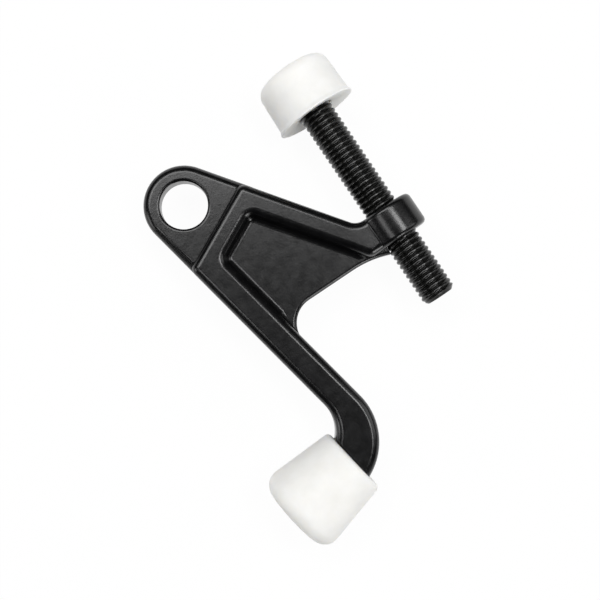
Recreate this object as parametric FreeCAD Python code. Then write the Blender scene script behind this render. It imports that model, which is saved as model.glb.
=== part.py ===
import FreeCAD, Part
import math
import os

# Hinge pin door stop, in millimetres.
# The origin is the centre of the hinge pin eye, at mid-thickness of the casting.
# +Z runs along the hinge pin, +Y runs along the adjusting screw towards its bumper.

# Bands that carry the round of a turned edge
round_bands = 3

# Eye lug
eye_radius = 9.1
eye_thickness = 5.0
eye_edge_round = 1.8
pin_bore_radius = 5.4
pin_bore_chamfer = 0.35

# Thick frame of the casting: bar at the eye, arm and leg
frame_thickness = 9.8
frame_edge_round = 1.8
step_distance = 8.5
step_angle = 26.6
step_corner_round = 2.0
bar_width = 5.4
arm_angle = 53.5
arm_inset = 0.35
arm_width = 5.8
arm_blend_radius = 3.4
arm_heel_round = 2.5
leg_lean = 11.0
leg_width = 7.05
pocket_corner_round = 1.7

# Foot of the leg
inner_bend_start = 53.4
inner_bend_radius = 8.9
inner_bend_turn = 55.7
outer_bend_start = 57.5
outer_bend_radius = 14.4
tip_axis_drop = 9.4

# Web between arm and leg
web_thickness = 3.2
web_edge_round = 0.9
web_edge_setback = 0.25
web_foot_round = 1.4

# Thinner layer that fills the web's corners at the leg and at the ring
filler_thickness = 2.0
leg_filler_radius = 6.2
leg_filler_bite = 0.35
ring_filler_run = 9.0
ring_filler_drop = 1.75

# Ring that carries the screw
screw_offset = 36.45
ring_radius = 6.95
ring_length = 7.85
ring_top_drop = 25.15
ring_edge_round = 1.1

# Adjusting screw
screw_radius = 4.0
screw_clearance = 0.05
screw_reach = 49.7
screw_end_chamfer = 0.9
head_radius = 6.0
head_height = 3.0

# Bumper on the screw's head
bumper_rise = 0.95
bumper_height = 11.5
bumper_radius = 9.15
bumper_taper = 0.4
bumper_shoulder_round = 2.6
lip_radius = 9.55
lip_height = 0.75
recess_depth = 0.8
recess_wall = 1.3
bumper_hole_gap = 0.3
head_setback = 3.0
head_clearance = 0.05

# Tip on the foot's peg
peg_radius = 3.5
peg_length = 11.0
peg_clearance = 0.05
peg_end_gap = 0.3
tip_length = 18.45
tip_rim_radius = 8.25
tip_taper = 7.0
tip_rim_chamfer = 0.55
tip_end_round = 3.0
tip_axis_shift = 0.75

Vector = FreeCAD.Vector
AXIS_X = Vector(1, 0, 0)
AXIS_Y = Vector(0, 1, 0)
AXIS_Z = Vector(0, 0, 1)


def direction(angle):
    """Unit vector in the plan, at an angle in degrees from +X."""
    return Vector(math.cos(math.radians(angle)), math.sin(math.radians(angle)), 0)


def tangent(angle):
    """Tangent of an angle in degrees."""
    return math.tan(math.radians(angle))


class Line:
    """A straight line in the plan: its direction, and its distance from the eye along its normal."""

    def __init__(self, along, distance, side):
        self.along = direction(along)
        self.normal = Vector(-self.along.y, self.along.x, 0) * side
        self.distance = distance

    def at(self, travel):
        """The point that lies `travel` along the line from the foot of its normal."""
        return self.normal * self.distance + self.along * travel

    def parallel(self, shift):
        """The same line, moved inwards, against its normal."""
        moved = Line.__new__(Line)
        moved.along = self.along
        moved.normal = self.normal
        moved.distance = self.distance - shift
        return moved

    def meets(self, other):
        """The point where two lines cross."""
        a, b = self.normal, other.normal
        spread = a.x * b.y - a.y * b.x
        x = (self.distance * b.y - other.distance * a.y) / spread
        y = (other.distance * a.x - self.distance * b.x) / spread
        return Vector(x, y, 0)


class Path:
    """A plan outline, drawn edge by edge."""

    def __init__(self, start):
        self.start = start
        self.here = start
        self.edges = []

    def line_to(self, point):
        self.edges.append(Part.LineSegment(self.here, point).toShape())
        self.here = point

    def arc_about(self, centre, turn):
        """An arc about a centre, through `turn` degrees, counter-clockwise where positive."""
        half = FreeCAD.Rotation(AXIS_Z, turn / 2)
        spoke = self.here - centre
        middle = centre + half.multVec(spoke)
        end = centre + half.multVec(half.multVec(spoke))
        self.edges.append(Part.Arc(self.here, middle, end).toShape())
        self.here = end

    def up_to_round(self, vertex, towards, radius):
        """A line up to where a corner's round starts. Gives the round's centre and its turn."""
        back = (self.here - vertex).normalize()
        on = (towards - vertex).normalize()
        half = back.getAngle(on) / 2
        self.line_to(vertex + back * (radius / math.tan(half)))
        centre = vertex + (back + on).normalize() * (radius / math.sin(half))
        turn = 180 - 2 * math.degrees(half)
        return centre, math.copysign(turn, on.cross(back).z)

    def corner(self, vertex, towards, radius):
        """A line up to a corner, and the round of that radius onto the line that leaves it."""
        centre, turn = self.up_to_round(vertex, towards, radius)
        self.arc_about(centre, turn)

    def banded_corner(self, vertex, towards, radius):
        """The same round as equal chords, for a profile that is turned into plain conical bands."""
        centre, turn = self.up_to_round(vertex, towards, radius)
        spoke = self.here - centre
        for band in range(round_bands):
            swing = FreeCAD.Rotation(AXIS_Z, turn * (band + 1) / round_bands)
            self.line_to(centre + swing.multVec(spoke))

    def face(self):
        self.line_to(self.start)
        return Part.Face(Part.Wire(self.edges))


def plate(face, thickness):
    """A plan face thickened evenly to both sides of the mid-plane."""
    lowered = face.copy()
    lowered.translate(AXIS_Z * (-thickness / 2))
    return lowered.extrude(AXIS_Z * thickness)


def face_edges(solid, half, keep):
    """Edges in the two faces of a plate for which keep(middle point) holds."""
    found = []
    for edge in solid.Edges:
        box = edge.BoundBox
        flat = box.ZLength < 1e-6 and abs(abs(box.ZMin) - half) < 1e-6
        middle = edge.valueAt((edge.FirstParameter + edge.LastParameter) / 2)
        if flat and keep(middle):
            found.append(edge)
    return found


# Lines that lay out the casting
leg_outer = Line(leg_lean - 90, eye_radius, -1)
leg_inner = leg_outer.parallel(leg_width)
eye_side = Line(-arm_angle, eye_radius, 1)
arm_top = eye_side.parallel(arm_inset)
arm_under = arm_top.parallel(arm_width)
step = Line(step_angle, step_distance, -1)
bar_under = step.parallel(-bar_width)
ring_top = Line(0, -ring_top_drop, 1)
ring_under = Line(0, -(ring_top_drop + ring_length), 1)
screw_line = Line(90, -screw_offset, 1)

inner_bend_centre = leg_outer.parallel(-inner_bend_radius).at(inner_bend_start)
outer_bend_centre = leg_inner.parallel(-outer_bend_radius).at(outer_bend_start)
tip_direction = direction(180 + tip_axis_drop)
sole_direction = direction(270 + tip_axis_drop)


def sole_ends():
    """Upper and lower end of the line where the foot meets the tip."""
    upper = Path(leg_outer.at(inner_bend_start))
    upper.arc_about(inner_bend_centre, -inner_bend_turn)
    spoke = upper.here - outer_bend_centre
    run = spoke.dot(sole_direction)
    reach = math.sqrt(run * run - spoke.dot(spoke) + outer_bend_radius * outer_bend_radius) - run
    return upper.here, upper.here + sole_direction * reach


sole_upper, sole_lower = sole_ends()
sole_middle = (sole_upper + sole_lower) * 0.5
tip_base = sole_middle + sole_direction * tip_axis_shift


def frame_plan():
    """Plan of the thick frame: the bar at the eye, the leg with its foot, and the arm up to the screw."""
    step_middle = (step.meets(leg_outer) + step.meets(arm_top)) * 0.5
    outer_bend_end = leg_inner.at(outer_bend_start)
    bend_turn = (sole_lower - outer_bend_centre).getAngle(outer_bend_end - outer_bend_centre)
    path = Path(step_middle)
    path.corner(step.meets(leg_outer), leg_outer.at(inner_bend_start), step_corner_round)
    path.line_to(leg_outer.at(inner_bend_start))
    path.arc_about(inner_bend_centre, -inner_bend_turn)
    path.line_to(sole_lower)
    path.arc_about(outer_bend_centre, math.degrees(bend_turn))
    path.corner(leg_inner.meets(bar_under), bar_under.meets(arm_under), pocket_corner_round)
    path.corner(bar_under.meets(arm_under), arm_under.meets(ring_under), pocket_corner_round)
    path.corner(arm_under.meets(ring_under), ring_under.meets(screw_line), arm_heel_round)
    path.line_to(ring_under.meets(screw_line))
    path.line_to(ring_top.meets(screw_line))
    path.corner(ring_top.meets(arm_top), arm_top.meets(step), arm_blend_radius)
    path.corner(arm_top.meets(step), step_middle, step_corner_round)
    return path.face()


def on_frame_rim(point):
    """True on the frame's outline, apart from its ends at the tip and inside the ring."""
    at_sole = abs((point - sole_middle).dot(tip_direction)) < 1e-3
    at_screw = abs(point.x - screw_offset) < 1e-3
    return not (at_sole or at_screw)


# Roots of the web inside the frame
web_root = leg_width / 3
leg_root = leg_inner.parallel(-web_root)
bar_root = bar_under.parallel(web_root)
arm_root = arm_under.parallel(-web_root)
ring_middle = ring_under.parallel(-ring_length / 2)
web_edge = ring_under.parallel(-web_edge_setback)


def close_in_frame(path):
    """Ends a plan of the web inside the ring, the arm, the bar and the leg."""
    path.line_to(ring_middle.meets(screw_line))
    path.line_to(ring_middle.meets(arm_root))
    path.line_to(bar_root.meets(arm_root))
    path.line_to(leg_root.meets(bar_root))
    return path.face()


def web_plan():
    """Plan of the web, with its straight free edge just above the ring's underside."""
    path = Path(leg_root.meets(web_edge))
    path.line_to(web_edge.meets(screw_line))
    return close_in_frame(path)


def filler_plan():
    """Plan of the web with its two corners filled: a round at the leg, and a tail along the screw."""
    turn = 90 + leg_lean
    reach = leg_filler_radius * tangent(turn / 2)
    leg_bite = leg_inner.parallel(-leg_filler_bite)
    start = leg_bite.meets(ring_under) + leg_bite.along * reach
    tail_end = ring_under.at(screw_offset - screw_radius) - AXIS_Y * ring_filler_drop
    tail_start = tail_end + AXIS_Y * ring_filler_drop - AXIS_X * ring_filler_run
    tail_radius = (ring_filler_run ** 2 + ring_filler_drop ** 2) / (2 * ring_filler_drop)
    tail_turn = math.degrees(math.asin(ring_filler_run / tail_radius))
    path = Path(start + leg_inner.normal * (web_root - leg_filler_bite))
    path.line_to(start)
    path.arc_about(start - leg_inner.normal * leg_filler_radius, -turn)
    path.line_to(tail_start)
    path.arc_about(tail_start - AXIS_Y * tail_radius, -tail_turn)
    path.line_to(tail_end + AXIS_X * screw_radius)
    return close_in_frame(path)


def on_web_free_edge(point):
    """True on the web's straight edge, which stays open to the bay between leg and screw."""
    return abs(point.y - web_edge.at(0).y) < 1e-3


def eye_plan():
    """Plan of the eye lug: its round end, the two tangent sides, and a root inside the frame."""
    root = step.parallel(-bar_width / 2)
    side_turn = leg_outer.normal.getAngle(eye_side.normal)
    path = Path(root.meets(eye_side))
    path.line_to(eye_side.at(0))
    path.arc_about(Vector(0, 0, 0), math.degrees(side_turn))
    path.line_to(root.meets(leg_outer))
    return path.face()


def on_eye_side(point):
    """True on the eye lug's outline, apart from its root inside the frame."""
    return point.dot(step.normal) < step.distance + bar_width / 2 - 1e-3


def on_pocket_foot(point):
    """True where the pocket's walls stand on the web."""
    walls = [abs(point.dot(line.normal) - line.distance) for line in (leg_inner, bar_under, arm_under)]
    return min(walls) < pocket_corner_round / 2


def circles(solid, radius):
    """Round edges of a given radius."""
    return [edge for edge in solid.Edges
            if edge.Curve.TypeId == "Part::GeomCircle" and abs(edge.Curve.Radius - radius) < 1e-6]


def rounded_plate(plan, thickness, keep, radius):
    """A plate whose rim is rounded on both faces, by three bands that each touch the true arc."""
    half = thickness / 2
    middle_band = radius * (1 - tangent(22.5))
    outer_bands = radius * (tangent(22.5) - tangent(11.25))
    solid = plate(plan, thickness)
    solid = solid.makeChamfer(middle_band, face_edges(solid, half, keep))
    rims = face_edges(solid, half, keep) + face_edges(solid, half - middle_band, keep)
    return solid.makeChamfer(outer_bands, rims)


def eye_lug():
    lug = rounded_plate(eye_plan(), eye_thickness, on_eye_side, eye_edge_round)
    bore = Part.makeCylinder(pin_bore_radius, eye_thickness, AXIS_Z * (-eye_thickness / 2), AXIS_Z)
    lug = lug.cut(bore)
    return lug.makeChamfer(pin_bore_chamfer, circles(lug, pin_bore_radius))


def pocketed_frame():
    """The thick frame with the web and its filled corners across it, with rounds where they meet."""
    frame = rounded_plate(frame_plan(), frame_thickness, on_frame_rim, frame_edge_round)
    web = plate(web_plan(), web_thickness)
    web = web.makeFillet(web_edge_round, face_edges(web, web_thickness / 2, on_web_free_edge))
    body = frame.fuse([web, plate(filler_plan(), filler_thickness)]).removeSplitter()
    return body.makeFillet(web_foot_round, face_edges(body, web_thickness / 2, on_pocket_foot))


def turned(path, base, axis):
    """A closed half profile, turned once about an axis in the plan."""
    return path.face().revolve(base, axis, 360)


def screw_ring():
    """The ring about the screw's line, still without its bore."""
    foot = ring_under.meets(screw_line)
    top = ring_top.meets(screw_line)
    outward = Vector(ring_radius, 0, 0)
    path = Path(foot)
    path.banded_corner(foot + outward, top + outward, ring_edge_round)
    path.banded_corner(top + outward, top, ring_edge_round)
    path.line_to(top)
    return turned(path, foot, AXIS_Y)


def foot_peg():
    """The peg at the foot, rooted in the foot by its own radius."""
    root = tip_base - tip_direction * peg_radius
    return Part.makeCylinder(peg_radius, peg_radius + peg_length, root, tip_direction)


def stop_body():
    body = pocketed_frame().fuse([eye_lug(), screw_ring(), foot_peg()]).removeSplitter()
    bore_reach = ring_length + ring_filler_drop
    bore_foot = ring_under.meets(screw_line) - AXIS_Y * ring_filler_drop
    bore = Part.makeCylinder(screw_radius + screw_clearance, bore_reach, bore_foot, AXIS_Y)
    return body.cut(bore)


def on_screw(radius, height):
    """Point of a profile about the screw's axis, at a height over the bumper's rim."""
    return Vector(screw_offset + radius, bumper_rise + height, 0)


def on_tip(radius, travel):
    """Point of a profile about the tip's axis, at a travel from the foot."""
    return tip_base + sole_direction * radius + tip_direction * travel


def adjusting_screw():
    head_top = head_setback + head_height
    path = Path(on_screw(0, -screw_reach))
    path.line_to(on_screw(screw_radius - screw_end_chamfer, -screw_reach))
    path.line_to(on_screw(screw_radius, screw_end_chamfer - screw_reach))
    path.line_to(on_screw(screw_radius, head_setback))
    path.line_to(on_screw(head_radius, head_setback))
    path.line_to(on_screw(head_radius, head_top))
    path.line_to(on_screw(0, head_top))
    return turned(path, on_screw(0, 0), AXIS_Y)


def door_bumper():
    hole_radius = screw_radius + bumper_hole_gap
    room_radius = head_radius + head_clearance
    room_floor = head_setback - head_clearance
    room_top = head_setback + head_height + head_clearance
    shoulder = on_screw(bumper_radius - bumper_taper, bumper_height)
    waist = on_screw(bumper_radius, lip_height)
    recess_radius = lip_radius - recess_wall
    path = Path(on_screw(0, room_top))
    path.line_to(on_screw(0, bumper_height))
    path.banded_corner(shoulder, waist, bumper_shoulder_round)
    path.line_to(waist)
    path.line_to(on_screw(lip_radius, 0))
    path.line_to(on_screw(recess_radius, 0))
    path.line_to(on_screw(recess_radius, recess_depth))
    path.line_to(on_screw(hole_radius, recess_depth))
    path.line_to(on_screw(hole_radius, room_floor))
    path.line_to(on_screw(room_radius, room_floor))
    path.line_to(on_screw(room_radius, room_top))
    return turned(path, on_screw(0, 0), AXIS_Y)


def leg_tip():
    bore_radius = peg_radius + peg_clearance
    bore_depth = peg_length + peg_end_gap
    end_radius = tip_rim_radius + tip_length * tangent(tip_taper)
    path = Path(on_tip(0, bore_depth))
    path.line_to(on_tip(bore_radius, bore_depth))
    path.line_to(on_tip(bore_radius, 0))
    path.line_to(on_tip(tip_rim_radius - tip_rim_chamfer, 0))
    path.line_to(on_tip(tip_rim_radius, tip_rim_chamfer))
    path.banded_corner(on_tip(end_radius, tip_length), on_tip(0, tip_length), tip_end_round)
    path.line_to(on_tip(0, tip_length))
    return turned(path, tip_base, tip_direction)


os.makedirs("parts", exist_ok=True)
for piece in (stop_body, adjusting_screw, door_bumper, leg_tip):
    shape = piece()
    shape.exportStep("parts/" + piece.__name__ + ".step")
    print(piece.__name__, len(shape.Solids), shape.isValid(), round(shape.Volume, 1))
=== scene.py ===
# %% [markdown]
# A hinge pin door stop, dressed for its photograph
#
# The stop is a black cast bracket that hangs on the pin of a door hinge. A screw with a white rubber bumper
# meets the door, and a second white rubber tip meets the jamb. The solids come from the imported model, in
# metres. This lesson gives the casting a coat and a fuller edge on its web, cuts a real thread on the
# screw, and models the two rubber caps with the soft edges that moulded rubber has.

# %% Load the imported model
import math

import bmesh
import bpy
from mathutils import Matrix, Vector


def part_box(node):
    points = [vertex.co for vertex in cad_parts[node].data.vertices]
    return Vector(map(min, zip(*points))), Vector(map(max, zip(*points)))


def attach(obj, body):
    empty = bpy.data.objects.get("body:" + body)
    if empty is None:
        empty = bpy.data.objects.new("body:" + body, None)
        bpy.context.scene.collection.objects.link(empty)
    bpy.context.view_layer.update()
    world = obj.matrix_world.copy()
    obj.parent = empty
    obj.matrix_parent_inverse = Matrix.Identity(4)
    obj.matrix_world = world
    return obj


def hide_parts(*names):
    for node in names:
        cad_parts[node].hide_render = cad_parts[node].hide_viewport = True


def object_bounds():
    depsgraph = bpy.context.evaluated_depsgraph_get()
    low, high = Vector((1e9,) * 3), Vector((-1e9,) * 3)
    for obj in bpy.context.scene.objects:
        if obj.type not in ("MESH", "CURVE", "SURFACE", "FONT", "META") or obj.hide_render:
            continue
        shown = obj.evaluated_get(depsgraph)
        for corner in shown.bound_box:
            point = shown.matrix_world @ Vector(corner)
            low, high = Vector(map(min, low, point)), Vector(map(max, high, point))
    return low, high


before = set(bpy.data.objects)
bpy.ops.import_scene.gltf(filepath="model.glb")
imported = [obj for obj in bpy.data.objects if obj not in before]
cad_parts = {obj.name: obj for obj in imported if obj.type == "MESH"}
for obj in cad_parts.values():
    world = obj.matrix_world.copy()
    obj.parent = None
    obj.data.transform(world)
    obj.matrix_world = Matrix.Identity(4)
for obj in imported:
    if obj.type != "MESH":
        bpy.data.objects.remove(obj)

cad_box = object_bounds()
scene = bpy.context.scene
mm = 0.001

# %% [markdown]
# The camera
#
# The photograph looks straight down on the stop as it lies on a table, from a little under twenty-four
# centimetres away, and turned so that the screw leans to the left. A camera can be turned with Euler
# angles, but three axes of our own say more plainly which way is right, up and back.

# %% Set up the camera
view_from = Vector((1.2, -38.1, 235.0)) * mm
view_centre = Vector((9.8, -31.9, 0.0)) * mm
view_roll = math.radians(33.9)
sensor_width_mm = 36.0
focal_length_mm = 62.94
nearest_seen = 10 * mm

back = (view_from - view_centre).normalized()
upward = Vector((math.sin(view_roll), math.cos(view_roll), 0.0))
right = upward.cross(back).normalized()
upward = back.cross(right)

camera_data = bpy.data.cameras.new("photo_camera")
camera_data.sensor_width = sensor_width_mm
camera_data.lens = focal_length_mm
camera_data.clip_start = nearest_seen
camera = bpy.data.objects.new("photo_camera", camera_data)
camera.matrix_world = Matrix.Translation(view_from) @ Matrix((right, upward, back)).transposed().to_4x4()
scene.collection.objects.link(camera)
scene.camera = camera
print("camera looks from", [round(c, 4) for c in view_from])

# %% [markdown]
# Nodes by name
#
# Materials are graphs of nodes, and so is the world around the scene. Three small helpers keep the graphs
# readable: one adds a node and sets its sockets by name, one empties a graph down to its output, and one
# ends a graph in a mix of two shaders.

# %% Helpers for node graphs
white = (1.0, 1.0, 1.0, 1.0)


def add_node(tree, kind, settings=None, **sockets):
    """Adds a node, sets its properties from `settings`, and its input sockets from the other names."""
    node = tree.nodes.new(kind)
    for name, value in (settings or {}).items():
        setattr(node, name, value)
    for name, value in sockets.items():
        node.inputs[name.replace("_", " ")].default_value = value
    return node


def empty_tree(owner, output_kind="ShaderNodeOutputMaterial"):
    """Clears the nodes of a material or a world. Gives its tree and a new output."""
    owner.use_nodes = True
    tree = owner.node_tree
    tree.nodes.clear()
    return tree, add_node(tree, output_kind)


def end_in_mix(tree, output, share, first, second):
    """Ends a graph in a mix of two shaders. `share` says how much of the second one shows."""
    mix = add_node(tree, "ShaderNodeMixShader")
    tree.links.new(share, mix.inputs["Fac"])
    tree.links.new(first, mix.inputs[1])
    tree.links.new(second, mix.inputs[2])
    tree.links.new(mix.outputs["Shader"], output.inputs["Surface"])


# %% [markdown]
# Grain that every finish shares
#
# A coat, an oxide skin and moulded rubber all have a fine grain, only at other scales. One node group makes
# it from two noises on the object's own coordinates: a broad one, the mottle, and a fine one, the grain.
# The mottle varies the colour and the gloss of a finish, and the grain is the height of a fine bump.

# %% Build the grain group and the finish around it
noise_low = 0.3
noise_high = 0.7


def grain_group():
    """Node group with two noises: Mottle for colour and gloss, Grain for the height of a bump."""
    tree = bpy.data.node_groups.new("surface_grain", "ShaderNodeTree")
    for name in ("Mottle Scale", "Grain Scale"):
        tree.interface.new_socket(name, in_out="INPUT", socket_type="NodeSocketFloat")
    for name in ("Mottle", "Grain"):
        tree.interface.new_socket(name, in_out="OUTPUT", socket_type="NodeSocketFloat")
    enter = add_node(tree, "NodeGroupInput")
    leave = add_node(tree, "NodeGroupOutput")
    place = add_node(tree, "ShaderNodeTexCoord")
    mottle = add_node(tree, "ShaderNodeTexNoise", Detail=3.0, Roughness=0.6)
    grain = add_node(tree, "ShaderNodeTexNoise", Detail=2.0, Roughness=0.5)
    for noise, name in ((mottle, "Mottle"), (grain, "Grain")):
        tree.links.new(place.outputs["Object"], noise.inputs["Vector"])
        tree.links.new(enter.outputs[name + " Scale"], noise.inputs["Scale"])
        tree.links.new(noise.outputs["Fac"], leave.inputs[name])
    return tree


surface_grain = grain_group()


def add_range(tree, source, low, high):
    """Maps a noise's middle range onto low to high. Gives the output socket."""
    node = add_node(tree, "ShaderNodeMapRange", From_Min=noise_low, From_Max=noise_high,
                    To_Min=low, To_Max=high)
    tree.links.new(source, node.inputs["Value"])
    return node.outputs["Result"]


def add_tones(tree, source, dark, light):
    """Colours a noise's middle range from dark to light. Gives the output socket."""
    node = add_node(tree, "ShaderNodeValToRGB")
    low, high = node.color_ramp.elements
    low.position, high.position = noise_low, noise_high
    low.color, high.color = (*dark, 1.0), (*light, 1.0)
    tree.links.new(source, node.inputs["Fac"])
    return node.outputs["Color"]


def add_bump(tree, source, strength, height):
    """Adds a bump whose height comes from a noise. Gives its node."""
    node = add_node(tree, "ShaderNodeBump", Strength=strength, Distance=height)
    tree.links.new(source, node.inputs["Height"])
    return node


def grained_finish(name, mottle_scale, grain_scale, dark, light, smoothest, roughest, strength, height):
    """A material with the grain in its colour, gloss and bump. Gives it, and its main nodes by name."""
    material = bpy.data.materials.new(name)
    tree, output = empty_tree(material)
    shader = add_node(tree, "ShaderNodeBsdfPrincipled")
    tree.links.new(shader.outputs["BSDF"], output.inputs["Surface"])
    grain = add_node(tree, "ShaderNodeGroup", {"node_tree": surface_grain},
                     Mottle_Scale=mottle_scale, Grain_Scale=grain_scale)
    mottle = grain.outputs["Mottle"]
    tree.links.new(add_tones(tree, mottle, dark, light), shader.inputs["Base Color"])
    tree.links.new(add_range(tree, mottle, smoothest, roughest), shader.inputs["Roughness"])
    bump = add_bump(tree, grain.outputs["Grain"], strength, height)
    tree.links.new(bump.outputs["Normal"], shader.inputs["Normal"])
    return material, {"shader": shader, "grain": grain, "bump": bump}


print("group", surface_grain.name)

# %% [markdown]
# Shapes from chains and corners
#
# Every shape here starts as a bmesh, whether it is a copy of a solid or a new form. Most new forms start
# as a chain of edges, and a vertex bevel rounds the corners that are soft. The helpers below draw a chain,
# round a corner, pick elements from a mesh or from what an operator gives back, count open edges, and add
# a closed part to another mesh.

# %% Helpers for shapes
weld_reach = 0.002 * mm


def draw_chain(mesh, places, closed=False):
    """Draws a chain of edges through the places. Gives its vertices."""
    points = [mesh.verts.new(place) for place in places]
    followers = points[1:] + points[:1] if closed else points[1:]
    for pair in zip(points, followers):
        mesh.edges.new(pair)
    return points


def round_corner(mesh, corner, reach, segments):
    """Rounds one corner, from `reach` before it to `reach` after it."""
    bmesh.ops.bevel(mesh, geom=[corner], offset=reach, offset_type="OFFSET", segments=segments, profile=0.5,
                    affect="VERTICES", material=-1)


def only(kind, items):
    """Those of the items that are of one bmesh kind."""
    return [item for item in items if isinstance(item, kind)]


def whole(mesh):
    """Everything in a mesh, as one list."""
    return mesh.verts[:] + mesh.edges[:] + mesh.faces[:]


def open_edges(data):
    """Number of edges that don't carry exactly two faces."""
    uses = {}
    for polygon in data.polygons:
        for key in polygon.edge_keys:
            uses[key] = uses.get(key, 0) + 1
    return sum(1 for count in uses.values() if count != 2)


def join_part(mesh, part, name):
    """Adds a closed part to a mesh and frees the part."""
    data = bpy.data.meshes.new(name)
    part.to_mesh(data)
    part.free()
    mesh.from_mesh(data)
    print(name, len(data.polygons), "faces,", open_edges(data), "open edges")
    bpy.data.meshes.remove(data)


# %% [markdown]
# Pieces and bodies
#
# One helper makes a finished piece of a bmesh. It closes the mesh, smooths what is softer than a crease,
# and ties the piece to its body, its material slot and the node that it stands for. It also counts the
# edges that don't have a face on both sides, and that count should be nought.

# %% Helper that finishes a piece


def finished_piece(name, mesh, finish, body, node, crease):
    """Closes a mesh and makes it a piece that rides on a body and stands for a CAD node."""
    bmesh.ops.remove_doubles(mesh, verts=mesh.verts, dist=weld_reach)
    bmesh.ops.recalc_face_normals(mesh, faces=mesh.faces)
    data = bpy.data.meshes.new(name)
    mesh.to_mesh(data)
    mesh.free()
    data.shade_smooth()
    data.set_sharp_from_angle(angle=math.radians(crease))
    data.materials.append(finish)
    piece = bpy.data.objects.new(name, data)
    scene.collection.objects.link(piece)
    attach(piece, body)
    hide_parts(node)
    print(name, len(data.polygons), "faces,", open_edges(data), "open edges")
    return piece


# %% [markdown]
# The black coat
#
# The casting has a thin satin black coat. It is darker than it looks: most of what the eye sees on the flat
# faces is the soft light that the coat mirrors. So the colour is nearly black and the gloss does the work.
# A broad, very low bump gives the flats the cloudy look of orange peel, and a fine one on top of it the
# grain.

# %% Finish of the casting


def casting_coat():
    """Satin black coat with a broad peel under its fine grain."""
    material, nodes = grained_finish(
        "casting_coat", mottle_scale=500.0, grain_scale=2600.0,
        dark=(0.0016, 0.0016, 0.0018), light=(0.0034, 0.0034, 0.0037),
        smoothest=0.22, roughest=0.27, strength=0.24, height=0.05 * mm)
    tree = material.node_tree
    peel = add_bump(tree, nodes["grain"].outputs["Mottle"], strength=0.3, height=0.07 * mm)
    tree.links.new(peel.outputs["Normal"], nodes["bump"].inputs["Normal"])
    return material


# %% [markdown]
# The casting
#
# The solid has nearly all of the casting's shape, with its rims rounded by three narrow bands that touch
# the true round from outside. Between the last band and the flat the true round would still run on for a
# third of a millimetre. An inset of that width gives the flats a border for it, and normals weighted by
# area then bend the light from the inner edge of that border outwards. So the bright line along each rim
# sits where it would on a true round.

# %% Copy the casting and give its flats a border
same_plane = math.radians(0.5)
rim_round = 1.8 * mm
band_turn = math.radians(22.5)
tangent_reach = rim_round * math.tan(band_turn / 2)
eye_level = 2.5 * mm
frame_level = 4.9 * mm
level_slack = 0.01 * mm
upright = 0.999

mesh = bmesh.new()
mesh.from_mesh(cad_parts["stop_body"].data)
bmesh.ops.remove_doubles(mesh, verts=mesh.verts, dist=weld_reach)
bmesh.ops.dissolve_limit(mesh, angle_limit=same_plane, verts=mesh.verts, edges=mesh.edges)
for level in (eye_level, frame_level):
    level_faces = [face for face in mesh.faces if abs(face.normal.z) > upright]
    flats = [face for face in level_faces if abs(abs(face.calc_center_median().z) - level) < level_slack]
    bmesh.ops.inset_region(mesh, faces=flats, thickness=tangent_reach, use_even_offset=True,
                           use_boundary=True)
    print(len(flats), "flat faces at", round(level / mm, 2), "mm")

# %% [markdown]
# The web's free edge
#
# The web between arm and leg keeps its thickness up to the open bay, and its edge there is rounded. The
# edge leaves the leg in an arc, runs straight, and falls away under the ring in a long arc. The solid only
# has a thinner strip along that line. So a rounded bar is swept along it: a closed profile is spun through
# the first arc, pulled along the straight run and spun through the second arc. Most of the bar lies hidden
# in the web, the leg and the arm.

# %% Sweep the web's edge
web_level = 1.6 * mm
web_edge_round = 0.9 * mm
web_edge_segments = 8
bar_skin = 0.01 * mm
bar_reach = 3.2 * mm
edge_line = -33.0 * mm
leg_arc_radius = 6.2 * mm
leg_arc_foot = 11.49 * mm
leg_arc_turn = math.radians(90)
leg_arc_steps = 24
tail_arc_radius = 24.02 * mm
tail_arc_foot = 23.45 * mm
tail_arc_turn = math.radians(-26)
tail_arc_steps = 16
tail_end = 32.38 * mm

bar = bmesh.new()
bar_top = web_level + bar_skin
bar_front = edge_line - bar_skin
bar_back = edge_line + bar_reach
bar_corners = [(bar_back, bar_top), (bar_front, bar_top), (bar_front, -bar_top), (bar_back, -bar_top)]
points = draw_chain(bar, [(leg_arc_foot, across, level) for across, level in bar_corners], closed=True)
for corner in points[1:3]:
    round_corner(bar, corner, web_edge_round, web_edge_segments)
first_loop = bar.edges[:]
bmesh.ops.spin(bar, geom=bar.verts[:] + first_loop, cent=(leg_arc_foot, edge_line - leg_arc_radius, 0),
               axis=(0, 0, 1), dvec=(0, 0, 0), angle=leg_arc_turn, steps=leg_arc_steps)
pulled = bmesh.ops.extrude_edge_only(bar, edges=first_loop)["geom"]
pulled_verts = only(bmesh.types.BMVert, pulled)
pulled_edges = only(bmesh.types.BMEdge, pulled)
far_loop = [edge for edge in pulled_edges if all(vert in pulled_verts for vert in edge.verts)]
bmesh.ops.translate(bar, verts=pulled_verts, vec=(tail_arc_foot - leg_arc_foot, 0, 0))
bmesh.ops.spin(bar, geom=pulled_verts + far_loop, cent=(tail_arc_foot, edge_line - tail_arc_radius, 0),
               axis=(0, 0, 1), dvec=(0, 0, 0), angle=tail_arc_turn, steps=tail_arc_steps)
bmesh.ops.bisect_plane(bar, geom=whole(bar), plane_co=(tail_end, 0, 0), plane_no=(1, 0, 0), clear_outer=True)
bmesh.ops.holes_fill(bar, edges=[edge for edge in bar.edges if edge.is_boundary], sides=0)
join_part(mesh, bar, "web_edge")

# %% [markdown]
# The end of the cove
#
# A cove fills the corner where the web meets the leg. The solid's cove stops a little before the bay. It is
# carried on by a wedge with a hollow face: a small face with one hollow corner is extruded along the leg's
# wall and drawn together to a point where the wall meets the bay. A mirrored copy does the same on the
# back.

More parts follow.
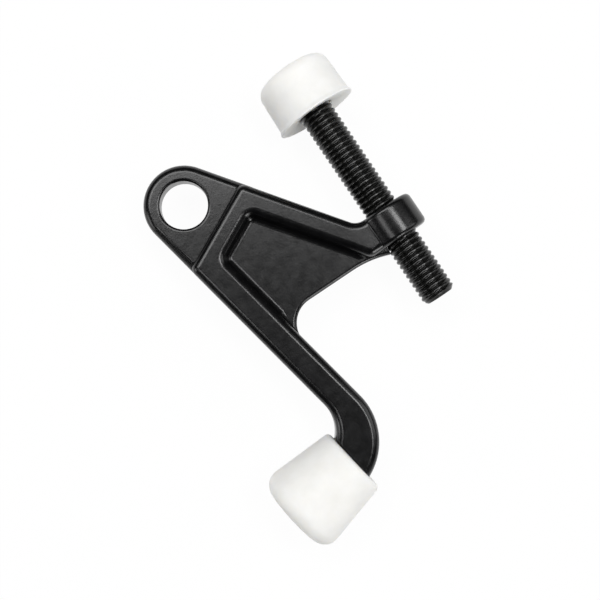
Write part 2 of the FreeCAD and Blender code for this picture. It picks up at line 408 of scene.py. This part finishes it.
# %% Taper the cove along the leg
cove_reach = 1.3 * mm
cove_root = 0.6 * mm
hollow_share = 0.98
hollow_segments = 8
hollow_corner = 3
wall_top = Vector((4.04, -31.6, 0)) * mm
wall_foot = Vector((5.3, -38.0, 0)) * mm
off_wall = Vector((wall_top.y - wall_foot.y, wall_foot.x - wall_top.x, 0)).normalized()

wedge = bmesh.new()
cove_corners = [
    (-cove_root, -cove_root),
    (cove_reach, -cove_root),
    (cove_reach, 0),
    (0, 0),
    (0, cove_reach),
    (-cove_root, cove_reach),
]
places = [wall_top + off_wall * out + Vector((0, 0, bar_top + rise)) for out, rise in cove_corners]
points = [wedge.verts.new(place) for place in places]
wedge.faces.new(points)
round_corner(wedge, points[hollow_corner], cove_reach * hollow_share, hollow_segments)
drawn = bmesh.ops.extrude_face_region(wedge, geom=wedge.faces[:], use_keep_orig=True)["geom"]
wedge_point = wall_foot + Vector((0, 0, bar_top))
bmesh.ops.pointmerge(wedge, verts=only(bmesh.types.BMVert, drawn), merge_co=wedge_point)
back_copy = bmesh.ops.duplicate(wedge, geom=whole(wedge))["geom"]
bmesh.ops.scale(wedge, verts=only(bmesh.types.BMVert, back_copy), vec=(1, 1, -1))
join_part(mesh, wedge, "cove_end")

# %% [markdown]
# Closing the casting
#
# The copy, the web's edge and the end of the cove are now one mesh. A modifier weights its normals by the
# area of the faces around them, so that the large flats stay flat and the narrow bands carry the whole
# bend.

# %% Finish the casting
casting = finished_piece("cast_body", mesh, casting_coat(), "stop", "stop_body", crease=35.0)
weighted = casting.modifiers.new("flat_faces", "WEIGHTED_NORMAL")
weighted.mode = "FACE_AREA"
weighted.weight = 50
weighted.keep_sharp = True

# %% [markdown]
# Turning a profile
#
# The screw's head, the bumper and the tip are all turned shapes. Each starts as a half profile of a few
# corners, given as distance from the axis and travel along it. A full spin about the axis makes the skin.

# %% Helpers for turned pieces


def rest_on_axis(points, base, axis, outward):
    """Turns (radius, travel) pairs into points in the frame."""
    return [base + outward * radius + axis * travel for radius, travel in points]


def spin_profile(mesh, corners, rounds, base, axis, outward, steps):
    """Draws a half profile and spins it. `rounds` gives reach and segments by the number of a corner."""
    points = draw_chain(mesh, rest_on_axis(corners, base, axis, outward))
    for number, (reach, segments) in rounds.items():
        round_corner(mesh, points[number], reach, segments)
    wire = [edge for edge in mesh.edges if edge.is_wire]
    ends = {vert for edge in wire for vert in edge.verts}
    bmesh.ops.spin(mesh, geom=list(ends) + wire, cent=base, axis=axis, dvec=(0, 0, 0), angle=2 * math.pi,
                   steps=steps, use_merge=True)


screw_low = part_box("adjusting_screw")[0]
bumper_low, bumper_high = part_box("door_bumper")
screw_axis = Vector((0, 1, 0))
screw_outward = Vector((1, 0, 0))
screw_base = Vector(((bumper_low.x + bumper_high.x) / 2, bumper_low.y, 0))
print("screw stands at x", round(screw_base.x / mm, 2), "mm")

# %% [markdown]
# The white rubber
#
# Moulded rubber is matt, a little warm, and never one flat white: handling and the mould leave it faintly
# cloudy. Light also travels a few millimetres inside it, which softens every shade, so part of its colour
# comes from below the surface.

# %% Finish of the rubber caps


def moulded_rubber():
    """Matt white rubber that light enters a little way."""
    material, nodes = grained_finish(
        "moulded_rubber", mottle_scale=260.0, grain_scale=6000.0,
        dark=(0.81, 0.806, 0.782), light=(0.86, 0.856, 0.836),
        smoothest=0.5, roughest=0.62, strength=0.1, height=0.04 * mm)
    shader = nodes["shader"]
    shader.inputs["IOR"].default_value = 1.45
    shader.inputs["Subsurface Weight"].default_value = 0.7
    shader.inputs["Subsurface Radius"].default_value = (1.0, 0.95, 0.85)
    shader.inputs["Subsurface Scale"].default_value = 3.5 * mm
    return material


rubber = moulded_rubber()
cap_steps = 96
cap_crease = 40.0

# %% [markdown]
# The bumper
#
# The bumper is a round cap with a soft shoulder, a thin lip that flares at its mouth, and an underside that
# dishes in towards the screw. Inside it is a room for the screw's head. All of it is one profile.

# %% Turn the bumper
bumper_height = bumper_high.y - bumper_low.y
lip_radius = (bumper_high.x - bumper_low.x) / 2
lip_height = 0.3 * mm
lip_tuck = 0.1 * mm
flare_height = 0.85 * mm
wall_radius = 9.15 * mm
crown_radius = 8.75 * mm
head_room_radius = 6.05 * mm
head_room_floor = 2.95 * mm
head_room_top = 6.05 * mm
mouth_radius = 4.3 * mm
lip_width = 0.7 * mm
dish_radius = lip_radius - lip_width
dish_depth = 0.6 * mm

bumper_corners = [
    (0, head_room_top),
    (0, bumper_height),
    (crown_radius, bumper_height),
    (wall_radius, flare_height),
    (lip_radius, lip_height),
    (lip_radius - lip_tuck, 0),
    (dish_radius, 0),
    (mouth_radius, dish_depth),
    (mouth_radius, head_room_floor),
    (head_room_radius, head_room_floor),
    (head_room_radius, head_room_top),
    (0, head_room_top),
]
bumper_rounds = {2: (2.6 * mm, 10), 3: (0.45 * mm, 4), 4: (0.15 * mm, 3), 6: (0.3 * mm, 3), 7: (0.25 * mm, 3)}
mesh = bmesh.new()
spin_profile(mesh, bumper_corners, bumper_rounds, screw_base, screw_axis, screw_outward, cap_steps)
finished_piece("rubber_bumper", mesh, rubber, "bumper", "door_bumper", cap_crease)

# %% [markdown]
# The tip
#
# The tip is a blunt cone pushed over the foot of the leg. Its axis lies in the plane of the casting, so the
# box of its node doesn't say where it starts: the line of the axis is written here as it is in the solids.

# %% Turn the tip
tip_turn = math.radians(189.4)
tip_axis = Vector((math.cos(tip_turn), math.sin(tip_turn), 0))
tip_outward = Vector((-tip_axis.y, tip_axis.x, 0))
tip_base = Vector((-0.15, -68.18, 0)) * mm
tip_length = 18.45 * mm
tip_flare = math.radians(7.0)
tip_rim_radius = 8.25 * mm
tip_end_radius = tip_rim_radius + tip_length * math.tan(tip_flare)
peg_room_radius = 3.55 * mm
peg_room_depth = 11.3 * mm

tip_corners = [
    (0, peg_room_depth),
    (peg_room_radius, peg_room_depth),
    (peg_room_radius, 0),
    (tip_rim_radius, 0),
    (tip_end_radius, tip_length),
    (0, tip_length),
]
tip_rounds = {3: (1.0 * mm, 6), 4: (4.1 * mm, 12)}
mesh = bmesh.new()
spin_profile(mesh, tip_corners, tip_rounds, tip_base, tip_axis, tip_outward, cap_steps)
finished_piece("rubber_tip", mesh, rubber, "stop", "leg_tip", cap_crease)

# %% [markdown]
# The oxide on the screw
#
# The screw's black oxide is dull in the roots of the thread, where oil and dirt collect, and rubbed smooth
# on the crests. So the distance from the screw's axis sets how much the surface mirrors.

# %% Finish of the screw
crest_radius = 3.97 * mm
root_radius = 3.52 * mm
crest_mirror = 0.5
root_mirror = 0.22


def black_oxide():
    """Black oxide that mirrors more on the crests than in the roots."""
    material, nodes = grained_finish(
        "black_oxide", mottle_scale=1400.0, grain_scale=7000.0,
        dark=(0.002, 0.002, 0.0019), light=(0.005, 0.005, 0.0046),
        smoothest=0.2, roughest=0.28, strength=0.06, height=0.02 * mm)
    tree = material.node_tree
    place = add_node(tree, "ShaderNodeTexCoord")
    spoke = add_node(tree, "ShaderNodeVectorMath", {"operation": "MULTIPLY_ADD"})
    spoke.inputs[1].default_value = (1.0, 0.0, 1.0)
    spoke.inputs[2].default_value = (-screw_base.x, 0.0, 0.0)
    reach = add_node(tree, "ShaderNodeVectorMath", {"operation": "LENGTH"})
    rubbed = add_node(tree, "ShaderNodeMapRange", From_Min=root_radius, From_Max=crest_radius,
                      To_Min=root_mirror, To_Max=crest_mirror)
    tree.links.new(place.outputs["Object"], spoke.inputs[0])
    tree.links.new(spoke.outputs["Vector"], reach.inputs[0])
    tree.links.new(reach.outputs["Value"], rubbed.inputs["Value"])
    tree.links.new(rubbed.outputs["Result"], nodes["shader"].inputs["Specular IOR Level"])
    return material


# %% [markdown]
# The thread
#
# The solid screw is a plain rod. A rolled thread is a small profile that climbs by one pitch each turn,
# which is what a spin with a step along its axis does. Only one turn is spun. Its copies stand one pitch
# apart, each ends where the next begins, and merging the doubles joins them into one skin. The free end is
# turned down to a short cone, and planes cut both ends square. The head is a plain disc inside the bumper.

# %% Cut the thread
pitch = 1.25 * mm
crest_from = 0.17 * pitch
crest_to = 0.49 * pitch
root_at = 0.83 * pitch
crest_soft = 0.15 * mm
root_soft = 0.07 * mm
soft_segments = 3
turn_steps = 40
turn_weld = 0.004 * mm
lead_in = 1.66 * pitch
spare_turns = 2
end_cone = 0.9 * mm
head_floor = 3.0 * mm
head_top = 6.0 * mm
head_radius = 6.0 * mm
head_soft = 0.4 * mm
thread_low = screw_low.y
thread_high = bumper_low.y + head_floor
turns = math.ceil((thread_high - thread_low) / pitch) + spare_turns

mesh = bmesh.new()
flank_radius = (crest_radius + root_radius) / 2
profile = [
    (flank_radius, 0),
    (crest_radius, crest_from),
    (crest_radius, crest_to),
    (root_radius, root_at),
    (flank_radius, pitch),
]
start = Vector((screw_base.x, thread_low - lead_in, 0))
points = draw_chain(mesh, rest_on_axis(profile, start, screw_axis, screw_outward))
for corner, reach in zip(points[1:4], (crest_soft, crest_soft, root_soft)):
    round_corner(mesh, corner, reach, soft_segments)
bmesh.ops.spin(mesh, geom=mesh.verts[:] + mesh.edges[:], cent=start, axis=screw_axis,
               dvec=screw_axis * (pitch / turn_steps), angle=2 * math.pi, steps=turn_steps)
one_turn = whole(mesh)
for turn in range(1, turns):
    copied = bmesh.ops.duplicate(mesh, geom=one_turn)["geom"]
    bmesh.ops.translate(mesh, verts=only(bmesh.types.BMVert, copied), vec=screw_axis * (pitch * turn))
bmesh.ops.remove_doubles(mesh, verts=mesh.verts, dist=turn_weld)
for vert in mesh.verts:
    spoke = Vector((vert.co.x - screw_base.x, 0, vert.co.z))
    allowed = crest_radius - max(0, end_cone - (vert.co.y - thread_low))
    if spoke.length > allowed:
        vert.co -= spoke * (1 - allowed / spoke.length)
for height, side in ((thread_low, -1), (thread_high, 1)):
    cut = bmesh.ops.bisect_plane(mesh, geom=whole(mesh), plane_co=(0, height, 0), plane_no=screw_axis * side,
                                 clear_outer=True)
    bmesh.ops.edgeloop_fill(mesh, edges=only(bmesh.types.BMEdge, cut["geom_cut"]))
head_corners = [(0, head_floor), (head_radius, head_floor), (head_radius, head_top), (0, head_top)]
head_rounds = {2: (head_soft, 4)}
spin_profile(mesh, head_corners, head_rounds, screw_base, screw_axis, screw_outward, steps=64)
finished_piece("threaded_screw", mesh, black_oxide(), "screw", "adjusting_screw", crease=50.0)

# %% [markdown]
# The floor
#
# The photograph is a cut-out on white. The floor stays a real surface that takes the stop's soft shadow.
# Where the camera sees it, directly, in a mirror or through glass, most of its white comes from its own
# glow. For all other light it is plain matt paper.

# %% Floor
floor_height = cad_box[0].z
floor_reach = 1.5
floor_paper = (0.9, 0.9, 0.9, 1.0)
glow_share = 0.96


def pale_floor():
    """Matt paper that glows for the rays by which the camera sees it."""
    material = bpy.data.materials.new("pale_floor")
    tree, output = empty_tree(material)
    matt = add_node(tree, "ShaderNodeBsdfDiffuse", Color=floor_paper)
    glow = add_node(tree, "ShaderNodeEmission", Color=white, Strength=1.0)
    ray = add_node(tree, "ShaderNodeLightPath")
    seen = ray.outputs["Is Camera Ray"]
    for kind in ("Is Glossy Ray", "Is Transmission Ray"):
        either = add_node(tree, "ShaderNodeMath", {"operation": "MAXIMUM"})
        tree.links.new(seen, either.inputs[0])
        tree.links.new(ray.outputs[kind], either.inputs[1])
        seen = either.outputs[0]
    share = add_node(tree, "ShaderNodeMath", {"operation": "MULTIPLY"})
    share.inputs[1].default_value = glow_share
    tree.links.new(seen, share.inputs[0])
    end_in_mix(tree, output, share.outputs[0], matt.outputs["BSDF"], glow.outputs["Emission"])
    return material


mesh = bmesh.new()
bmesh.ops.create_grid(mesh, x_segments=1, y_segments=1, size=floor_reach)
bmesh.ops.translate(mesh, verts=mesh.verts, vec=(0, 0, floor_height))
floor_data = bpy.data.meshes.new("floor")
mesh.to_mesh(floor_data)
mesh.free()
floor_data.materials.append(pale_floor())
floor = bpy.data.objects.new("floor", floor_data)
scene.collection.objects.link(floor)
print("floor at", round(floor_height / mm, 2), "mm")

# %% [markdown]
# The lights
#
# A black coat shows little but its lights, so each softbox stands where the coat mirrors it as a bright
# line of the photograph: above and at the right for the rims and the screw, low at the right, the front
# and the left for the steep faces and the underside of the bumper. The world is white paper for the
# camera and adds only a little light.

# %% Lights and world
lamp_distance = 0.8
room_strength = 0.02


def softbox(name, around, tilt, size, power):
    """A square soft light, `around` degrees from the picture's right and `tilt` from the camera's line."""
    turn = math.radians(around)
    lean = math.radians(tilt)
    away = (right * math.cos(turn) + upward * math.sin(turn)) * math.sin(lean) + back * math.cos(lean)
    light = bpy.data.lights.new(name, "AREA")
    light.shape = "SQUARE"
    light.size = size
    light.energy = power
    lamp = bpy.data.objects.new(name, light)
    lamp.location = view_centre + away * lamp_distance
    lamp.rotation_euler = away.to_track_quat("Z", "Y").to_euler()
    scene.collection.objects.link(lamp)


softbox("key_softbox", around=100, tilt=27, size=0.36, power=2.25)
softbox("upper_left_box", around=146, tilt=35, size=0.3, power=1.65)
softbox("right_strip", around=34, tilt=25, size=0.2, power=1.6)
softbox("right_strip_low", around=358, tilt=27, size=0.16, power=0.75)
softbox("right_low_box", around=16, tilt=58, size=0.45, power=1.1)
softbox("low_front_box", around=310, tilt=74, size=0.3, power=1.9)
softbox("left_low_box", around=195, tilt=72, size=0.3, power=0.9)
softbox("left_fill", around=205, tilt=28, size=0.2, power=0.55)

world = bpy.data.worlds.new("studio")
scene.world = world
tree, output = empty_tree(world, "ShaderNodeOutputWorld")
room = add_node(tree, "ShaderNodeBackground", Color=white, Strength=room_strength)
paper = add_node(tree, "ShaderNodeBackground", Color=white, Strength=1.0)
ray = add_node(tree, "ShaderNodeLightPath")
end_in_mix(tree, output, ray.outputs["Is Camera Ray"], room.outputs["Background"],
           paper.outputs["Background"])
scene.view_settings.view_transform = "Standard"
